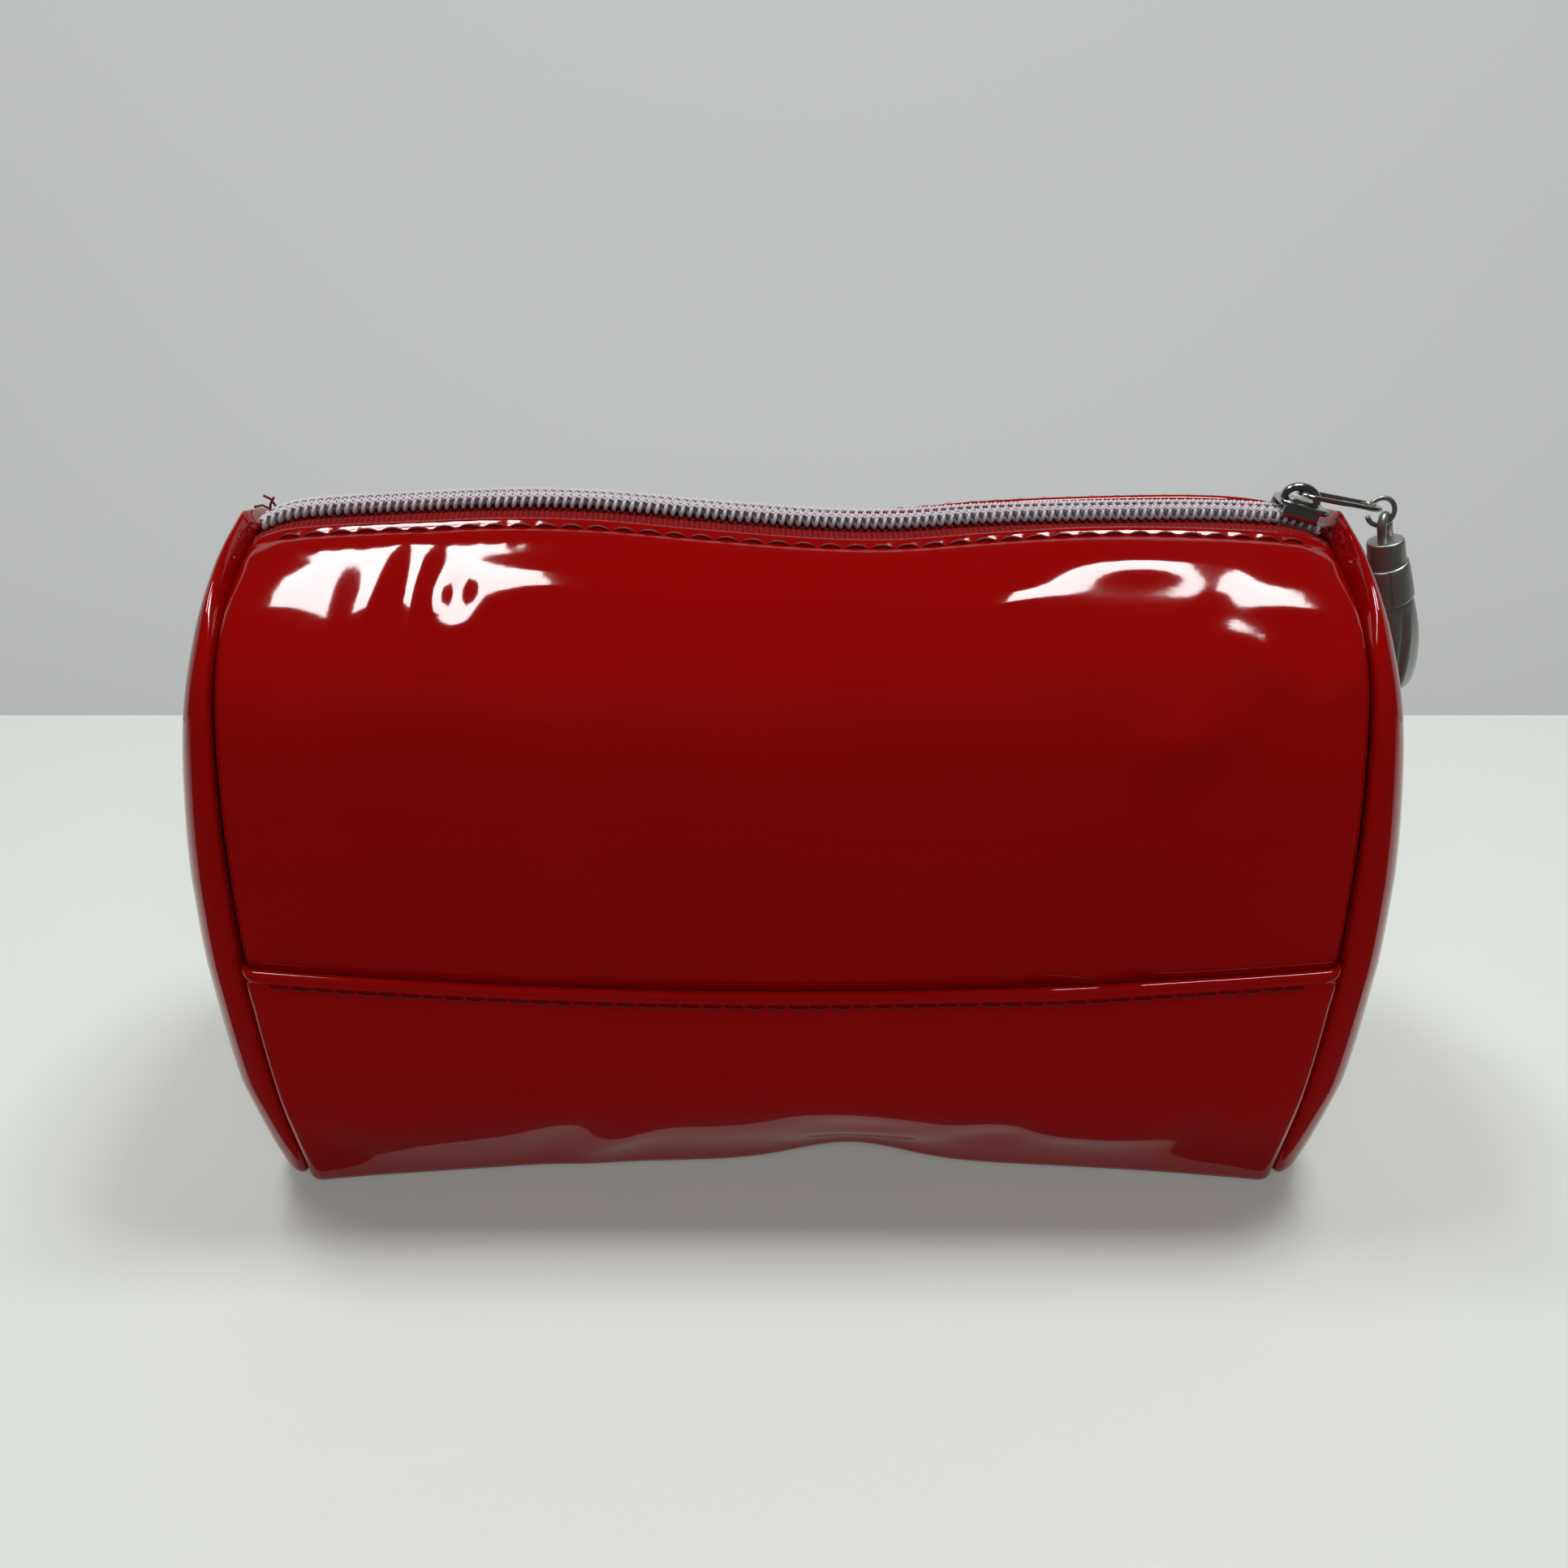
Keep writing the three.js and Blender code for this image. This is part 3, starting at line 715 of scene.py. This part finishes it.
coil_nylon, shade, place = start_finish("coil_nylon")
tint = noise(place, 260, 3)
end_finish(
    shade,
    Base_Color=two_tone(tint, (0.28, 0.26, 0.29), (0.58, 0.55, 0.58)),
    Roughness=0.24 + tint * 0.2,
    Normal=raised(noise(place, 1600, 2), 0.15, 0.0001),
)
sewing_thread, shade, place = start_finish("sewing_thread")
twist = noise(place, 1500, 3, (1, 3, 3))
end_finish(
    shade,
    Base_Color=two_tone(twist, (0.42, 0.37, 0.41), (0.80, 0.74, 0.78)),
    Roughness=0.6,
    Normal=raised(twist, 0.5, 0.0001),
)


def wire_piece(name, runs, diameter, material, sides=3, closed=False, to_place=None):
    """Round wire along one or more runs of points in mm, with closed ends, as a mesh."""
    curve = bpy.data.curves.new(name, "CURVE")
    curve.dimensions = "3D"
    curve.bevel_depth = diameter / 2 * MM
    curve.bevel_resolution = sides
    curve.use_fill_caps = True
    for run in runs:
        spline = curve.splines.new("POLY")
        spline.points.add(len(run) - 1)
        spline.points.foreach_set("co", np.hstack([np.array(run) * MM, np.ones((len(run), 1))]).ravel())
        spline.use_cyclic_u = closed
    holder = bpy.data.objects.new(name, curve)
    mesh = bpy.data.meshes.new_from_object(holder)
    bpy.data.objects.remove(holder)
    mesh.name = name
    if to_place is not None:
        mesh.transform(to_place)
    return finish_piece(mesh, name, material, merge=True)


def coil_points(facing):
    x = np.arange(-COIL_END, COIL_END, COIL_PITCH / COIL_STEPS)
    angle = 2 * math.pi * x / COIL_PITCH + (math.pi if facing > 0 else 0)
    y = facing * (COIL_AWAY + COIL_REACH * np.cos(angle)) + by_x(x, ZIP_WANDER)
    z = COIL_MIDDLE + COIL_HALF_HEIGHT * np.sin(angle) + by_x(x, ZIP_RISE)
    return np.stack([x, y, z], 1)


def sewing_points(facing, away, wave):
    x = np.arange(-COIL_END, COIL_END, COIL_PITCH / SEWING_STEPS)
    angle = 4 * math.pi * x / COIL_PITCH
    y = facing * (away + wave * np.sin(angle / 2)) + by_x(x, ZIP_WANDER)
    over_coil = COIL_MIDDLE + COIL_HALF_HEIGHT + SEWING_WIRE
    z = over_coil - 0.10 * away + 0.16 * np.sin(angle) + by_x(x, ZIP_RISE)
    return np.stack([x, y, z], 1)


for facing, side, nodes in (
    (-1, "front", ["front_zip_coil", "right_coil_end"]),
    (1, "back", ["back_zip_coil", "left_coil_end"]),
):
    coil = wire_piece(side + "_coil", [coil_points(facing)], COIL_WIRE, coil_nylon, 2)
    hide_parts(*nodes)
    with_zip(coil, facing)
    sewn = [sewing_points(facing, 1.35, 0.3), sewing_points(facing, 2.25, -0.3)]
    sewing = wire_piece(side + "_coil_sewing", sewn, SEWING_WIRE, sewing_thread, 1)
    with_zip(sewing, facing)


# Stitches: deep red bonded thread. One row holds the tape under each turned edge and one row holds the
# pocket's hem; a few cut ends stand up at the left end seam.
THREAD = 0.5
LOOSE_THREAD = 0.45
TOPSTITCH_REACH = 90
HEM_STITCH_REACH = 92
STITCH_RISE = 0.28
HEM_STITCH_RISE = 0.26

red_thread, shade, place = start_finish("red_thread")
ply = noise(place, 1400, 3, (3, 1, 1))
end_finish(
    shade,
    Base_Color=two_tone(ply, (0.07, 0.002, 0.003), (0.21, 0.006, 0.006)),
    Roughness=0.5,
    Normal=raised(ply, 0.6, 0.0001),
)


def stitch_row(pitch, reach, on_surface):
    """Each stitch lies on the film and dips into it at both ends."""
    rows = []
    for middle in np.arange(pitch / 2 - reach, reach, pitch):
        x = middle + pitch * np.array([-0.42, -0.36, -0.18, 0, 0.18, 0.36, 0.42])
        sunk = np.array([-0.55, -0.05, 0.18, 0.22, 0.18, -0.05, -0.55])
        rows.append(on_surface(x, sunk))
    return rows


def on_top_edge(facing, dents):
    def on_surface(x, sunk):
        points = wall_points(x, np.full_like(x, SIDE_LENGTH - TOPSTITCH), facing, dents)
        points[:, 2] += sunk + STITCH_RISE
        return points

    return on_surface


def on_hem(x, sunk):
    points = pocket_points(x, 1 - HEM_SETBACK / hem_run(x))
    points[:, 1] -= sunk + HEM_STITCH_RISE
    return points


for facing, side, dents in ((-1, "front", FRONT_DENTS), (1, "back", BACK_DENTS)):
    row = stitch_row(TOPSTITCH_PITCH, TOPSTITCH_REACH, on_top_edge(facing, dents))
    topstitch = wire_piece(side + "_topstitch", row, THREAD, red_thread, 1)
    with_zip(topstitch, facing)
row = stitch_row(HEM_PITCH, HEM_STITCH_REACH, on_hem)
hem_stitch = wire_piece("hem_stitch", row, THREAD, red_thread, 1)
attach(hem_stitch, "bag")

LOOSE_ENDS = [
    [(-94.0, 1.0, 127.5), (-94.3, 0.6, 129.6), (-93.8, 0.0, 131.4), (-92.8, -0.6, 132.9)],
    [(-93.2, 3.0, 127.8), (-93.8, 3.2, 130.0), (-94.6, 3.0, 131.6), (-95.6, 2.4, 132.4)],
    [(-94.4, 5.0, 127.0), (-95.4, 5.4, 128.9), (-97.0, 5.2, 129.8), (-98.4, 4.6, 129.6)],
]
thread_ends = wire_piece("thread_ends", LOOSE_ENDS, LOOSE_THREAD, red_thread, 2)
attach(thread_ends, "bag")


# Slider: die-cast and nickel-plated. Two plates joined by a post at the nose, side flanges that close
# the coils, and a thick arched bridge that holds the link.
SLIDER_PLACE = (91.2, 0, 129.7)
SLIDER_TILT = 15
SLIDER_LENGTH = 9.2
SLIDER_WIDTH = 8.4
SLIDER_PLATE = 1.0
PLATE_ABOVE = 1.4
PLATE_BELOW = -2.6
TAIL_SHARE = 0.84
INTO_PLATE = 0.3
FLANGE_LENGTH = 6.8
FLANGE_THICK = 0.8
BRIDGE_WIRE = 1.5
BRIDGE_REACH = 3.1
BRIDGE_RISE = 2.25
BRIDGE_WIDER = 1.35

nickel, shade, place = start_finish("polished_nickel")
smudge = noise(place, 140, 4)
hairlines = noise(place, 900, 2, (1, 12, 1))
end_finish(
    shade,
    Base_Color=two_tone(smudge, (0.44, 0.435, 0.42), (0.66, 0.65, 0.63)),
    Metallic=1.0,
    Roughness=0.10 + smudge * 0.16,
    Normal=raised(hairlines, 0.06, 0.0001),
)


def stamped(work, outline, bottom, top, rounding):
    """A plate cut to an outline of (x, y) points, with rounded edges, added to a bmesh."""
    face = work.faces.new([work.verts.new((x, y, bottom)) for x, y in outline])
    made = bmesh.ops.extrude_face_region(work, geom=[face])["geom"]
    lifted = [g for g in made if isinstance(g, bmesh.types.BMVert)]
    bmesh.ops.translate(work, verts=lifted, vec=(0, 0, top - bottom))
    edges = {e for v in list(face.verts) + lifted for e in v.link_edges}
    bmesh.ops.bevel(
        work,
        geom=list(edges),
        offset=rounding,
        segments=3,
        profile=0.5,
        affect="EDGES",
        material=-1,
        clamp_overlap=True,
    )


def oblong(length, width, corner, tail=1.0):
    """Outline of a plate, narrower at its tail, with rounded corners."""
    points = []
    for side_x, side_y, start in ((1, 1, 0), (-1, 1, 90), (-1, -1, 180), (1, -1, 270)):
        wide = width / 2 * (tail if side_x < 0 else 1)
        for k in range(6):
            turn = math.radians(start + 90 * k / 5)
            points.append((
                side_x * (length / 2 - corner) + corner * math.cos(turn),
                side_y * (wide - corner) + corner * math.sin(turn),
            ))
    return points


def joined(name, bodies, material, place_in):
    """Solids made in mm in a piece's own frame, put in place together."""
    work = bmesh.new()
    for make in bodies:
        make(work)
    mesh = bpy.data.meshes.new(name)
    work.to_mesh(mesh)
    work.free()
    mesh.transform(place_in @ Matrix.Scale(MM, 4))
    return finish_piece(mesh, name, material)


def in_place(point, *turns):
    """A piece's place in mm, then its (degrees, axis) turns."""
    matrix = Matrix.Translation(Vector(point) * MM)
    for degrees, axis in turns:
        matrix = matrix @ Matrix.Rotation(math.radians(degrees), 4, axis)
    return matrix


def slider_plates(work):
    outline = oblong(SLIDER_LENGTH, SLIDER_WIDTH, 2.0, TAIL_SHARE)
    stamped(work, outline, PLATE_ABOVE, PLATE_ABOVE + SLIDER_PLATE, 0.32)
    stamped(work, outline, PLATE_BELOW - SLIDER_PLATE, PLATE_BELOW, 0.32)
    ridge = oblong(SLIDER_LENGTH - 3.2, SLIDER_WIDTH - 4.4, 1.0, 0.9)
    top = PLATE_ABOVE + SLIDER_PLATE
    stamped(work, ridge, top - INTO_PLATE, top + 0.35, 0.25)


def slider_sides(work):
    """Two flanges on each side, with a slot between them for the tape, and the post at the nose."""
    for side in (-1, 1):
        away = side * (SLIDER_WIDTH / 2 - 0.62)
        flange = [(x - 0.6, y + away) for x, y in oblong(FLANGE_LENGTH, FLANGE_THICK, 0.3)]
        stamped(work, flange, -0.35, PLATE_ABOVE + INTO_PLATE, 0.12)
        stamped(work, flange, PLATE_BELOW - INTO_PLATE, -1.35, 0.12)
    post = [(x + 2.1, y) for x, y in oblong(1.5, 1.2, 0.4)]
    stamped(work, post, PLATE_BELOW - INTO_PLATE, PLATE_ABOVE + INTO_PLATE, 0.1)


slider_frame = in_place(SLIDER_PLACE, (SLIDER_TILT, "Y"))
slider = joined("zip_slider", [slider_plates, slider_sides], nickel, slider_frame)
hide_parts("slider_body")
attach(slider, "slider")

arch_turn = np.radians(np.linspace(-14, 194, 26))
arch_height = PLATE_ABOVE + SLIDER_PLATE + INTO_PLATE + BRIDGE_RISE * np.sin(arch_turn)
arch = np.stack([BRIDGE_REACH * np.cos(arch_turn) - 0.4, 0 * arch_turn, arch_height], 1)
bridge_frame = slider_frame @ Matrix.Diagonal((1, BRIDGE_WIDER, 1, 1))
bridge = wire_piece("slider_bridge", [arch], BRIDGE_WIRE, nickel, 4, to_place=bridge_frame)
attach(bridge, "slider")


# Pull: a flattened oval link through the bridge, an open jump ring on its end, and a satin charm on the ring.
# Each is placed from its own joint, and all three hang a little lower in the bridge.
JOINTS = frame["record"]["behaviour"]["joints"]
JOINT_PLACE = {joint["name"]: Vector(joint["pos_m"]) / MM for joint in JOINTS if "pos_m" in joint}
PULL_YAW = 6
LINK_TILT = 12
PULL_SUNK = 1.1
LINK_LENGTH = 16.6
LINK_WIDTH = 5.6
LINK_WIRE = 1.25
LINK_FLATTENED = 0.72
RING_RADIUS = 2.55
RING_WIRE = 0.95
RING_GAP = 38
RING_DROP = 0.75


def oval_run(length, width, steps=14):
    straight = (length - width) / 2
    turn = np.radians(np.linspace(-90, 90, steps))
    right = np.stack([straight + width / 2 * np.cos(turn), width / 2 * np.sin(turn), 0 * turn], 1)
    return np.vstack([right, right * [-1, -1, 1]])


link_middle = (LINK_LENGTH - LINK_WIRE) / 2
pull_sunk = Matrix.Translation((0, 0, -PULL_SUNK * MM))
link_hung = pull_sunk @ in_place(JOINT_PLACE["link_turn"], (PULL_YAW, "Z"), (LINK_TILT, "Y"))
link_flattened = Matrix.Diagonal((1, 1, LINK_FLATTENED, 1))
link_frame = link_hung @ Matrix.Translation((link_middle * MM, 0, 0)) @ link_flattened
link_run = oval_run(LINK_LENGTH - LINK_WIRE, LINK_WIDTH - LINK_WIRE)
link = wire_piece("oval_link", [link_run], LINK_WIRE, nickel, 4, closed=True, to_place=link_frame)
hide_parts("pull_link")
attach(link, "pull")

dark_nickel, shade, place = start_finish("satin_dark_nickel")
cloudy = noise(place, 90, 4)
brushed = noise(place, 700, 3, (3, 3, 0.25))
end_finish(
    shade,
    Base_Color=two_tone(cloudy * 0.6 + brushed * 0.4, (0.32, 0.325, 0.305), (0.54, 0.54, 0.51)),
    Metallic=0.9,
    Roughness=0.32 + brushed * 0.18,
    Normal=raised(brushed, 0.10, 0.0001),
)

ring_turn = np.radians(np.linspace(180 + RING_GAP / 2, 540 - RING_GAP / 2, 48))
ring_run = RING_RADIUS * np.stack([np.cos(ring_turn), 0 * ring_turn, np.sin(ring_turn)], 1)
ring_hung = pull_sunk @ in_place(JOINT_PLACE["ring_swing"], (PULL_YAW, "Z"))
ring_frame = ring_hung @ Matrix.Translation((RING_DROP * MM, 0, -RING_DROP * MM))
ring = wire_piece("jump_ring_wire", [ring_run], RING_WIRE, dark_nickel, 5, to_place=ring_frame)
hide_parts("jump_ring")
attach(ring, "ring")


# Charm: a satin bud with a thick upturned U set into its top. The bud is a plain collar, a sleeve folded
# round it and four overlapping petals that close at the tip.
CHARM_TILT = 13
LOOP_RADIUS = 1.9
LOOP_WIRE = 1.7
LOOP_LEG = 3.0
LOOP_TURN = 50
BUD_TOP = -4.5
BUD_PROFILE = [
    (0, 0.0), (1.4, 0.0), (2.9, -0.05), (3.25, -0.2), (3.35, -0.6), (3.4, -2.0), (3.45, -4.4), (3.5, -4.7),
    (3.85, -4.9), (4.05, -6.0), (4.3, -8.5), (4.5, -11.2), (4.45, -11.6), (4.15, -11.8), (4.4, -13.0),
    (4.7, -15.5), (4.85, -18.0), (4.75, -20.5), (4.4, -23.5), (3.8, -26.3), (3.0, -28.6), (2.0, -30.0),
    (0.9, -30.6), (0, -30.7),
]
BUD_STEPS = 128
PETAL_FOLDS = (35, 118, 205, 300)
PETAL_TWIST = 1.5
SLEEVE_SEAM = 250

charm_frame = pull_sunk @ in_place(JOINT_PLACE["charm_swing"], (PULL_YAW, "Z"), (-CHARM_TILT, "Y"))
loop_turn = np.radians(np.linspace(0, 180, 20))
loop_arch = LOOP_RADIUS * np.stack([np.cos(loop_turn), 0 * loop_turn, np.sin(loop_turn) - 1], 1)
foot = [0, 0, -LOOP_LEG]
loop_run = np.vstack([loop_arch[:1] + foot, loop_arch, loop_arch[-1:] + foot])
loop_frame = charm_frame @ Matrix.Rotation(math.radians(LOOP_TURN), 4, "Z")
charm_loop = wire_piece("charm_loop_wire", [loop_run], LOOP_WIRE, dark_nickel, 5, to_place=loop_frame)
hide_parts("charm_loop")
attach(charm_loop, "charm")


def degrees_apart(angle, other):
    return abs((angle - other + 180) % 360 - 180)


def pressed(away, width):
    return math.exp(-((away / width) ** 2))


def bud(work):
    profile = smooth_line(BUD_PROFILE, 150)
    profile[:, 0] = np.maximum(profile[:, 0], 0)
    points = [work.verts.new((r, 0, h)) for r, h in profile]
    edges = [work.edges.new(pair) for pair in zip(points, points[1:])]
    bmesh.ops.spin(
        work,
        geom=points + edges,
        cent=(0, 0, 0),
        axis=(0, 0, 1),
        angle=2 * math.pi,
        steps=BUD_STEPS,
        use_merge=True,
    )
    bmesh.ops.remove_doubles(work, verts=work.verts, dist=0.002)
    for vert in work.verts:
        radius = math.hypot(vert.co.x, vert.co.y)
        if radius < 0.01:
            continue
        angle = math.degrees(math.atan2(vert.co.y, vert.co.x)) % 360
        low = vert.co.z
        petal = step(-12.6, -15.0, low)
        sleeve = step(-4.7, -5.4, low) * (1 - step(-11.0, -11.8, low))
        fold = min(degrees_apart(angle, at + PETAL_TWIST * low) for at in PETAL_FOLDS)
        crease = petal * (0.18 * pressed(fold - 16, 9.0) - 0.42 * pressed(fold, 5.0))
        crease -= 0.30 * sleeve * pressed(degrees_apart(angle, SLEEVE_SEAM), 3.5)
        grown = (radius + crease * min(radius / 2.5, 1)) / radius
        vert.co.x *= grown
        vert.co.y *= grown
        tilted = step(-3.0, -5.0, low) * (1 - step(-13.5, -17.0, low))
        vert.co.z += 0.55 * math.cos(math.radians(angle - 20)) * tilted
    bmesh.ops.translate(work, verts=work.verts, vec=(0, 0, BUD_TOP))


charm = joined("charm_bud", [bud], dark_nickel, charm_frame)
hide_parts("charm_body")
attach(charm, "charm")


# Floor and light: a pale glossy table, a pale wall well behind it, two soft lights overhead and a fill
# in front. The front part of the table is left out of every mirror image. Sizes are in metres.
TABLE_COLOUR = (0.68, 0.71, 0.675)
TABLE_ROUGHNESS = 0.08
TABLE_GLOW = 0.1
TABLE_HALF = 3
TABLE_BACK = 0.207
TABLE_NEAR = -0.03
WALL_COLOUR = (0.53, 0.55, 0.545)
WALL_GLOW = 0.66
WALL_HALF = 4
WALL_AWAY = 1.4
LAMP_HEIGHT = 1.1


def stage_plane(name, corners, colour, roughness, glow, glossy=True):
    mesh = bpy.data.meshes.new(name)
    plane = bmesh.new()
    plane.faces.new([plane.verts.new(c) for c in corners])
    plane.to_mesh(mesh)
    plane.free()
    material, shade, place = start_finish(name)
    solid = (*colour, 1)
    end_finish(shade, Base_Color=solid, Roughness=roughness, Emission_Color=solid, Emission_Strength=glow)
    mesh.materials.append(material)
    made = bpy.data.objects.new(name, mesh)
    bpy.context.scene.collection.objects.link(made)
    made.visible_glossy = glossy


def table_corners(near, far):
    return [(-TABLE_HALF, near, 0), (TABLE_HALF, near, 0), (TABLE_HALF, far, 0), (-TABLE_HALF, far, 0)]


table_finish = (TABLE_COLOUR, TABLE_ROUGHNESS, TABLE_GLOW)
stage_plane("table", table_corners(TABLE_NEAR, TABLE_BACK), *table_finish)
stage_plane("table_front", table_corners(-TABLE_HALF, TABLE_NEAR), *table_finish, glossy=False)
wall_corners = [(x * WALL_HALF, WALL_AWAY, z) for x, z in ((-1, -2), (1, -2), (1, 1.3), (-1, 1.3))]
stage_plane("wall", wall_corners, WALL_COLOUR, 0.6, WALL_GLOW)


def soft_light(name, place, target, size, power, glossy=True):
    lamp = bpy.data.lights.new(name, "AREA")
    lamp.shape = "RECTANGLE"
    lamp.size, lamp.size_y = size
    lamp.energy = power
    made = bpy.data.objects.new(name, lamp)
    bpy.context.scene.collection.objects.link(made)
    made.location = place
    made.rotation_euler = (Vector(target) - Vector(place)).to_track_quat("-Z", "Y").to_euler()
    made.visible_glossy = glossy


soft_light("left_light", (-0.33, 0.05, LAMP_HEIGHT), (-0.33, 0.05, 0), (0.19, 0.36), 4.8)
soft_light("right_light", (0.30, 0.03, LAMP_HEIGHT), (0.30, 0.03, 0), (0.30, 0.28), 5.9)
soft_light("front_fill", (0, -1.6, 1.0), (0, 0, 0.1), (1.6, 1.0), 14, glossy=False)
world = bpy.data.worlds.new("room")
bpy.context.scene.world = world
world.use_nodes = True
background = world.node_tree.nodes["Background"]
background.inputs["Color"].default_value = (1, 0.98, 0.95, 1)
background.inputs["Strength"].default_value = 0.04
bpy.context.scene.view_settings.view_transform = "Standard"
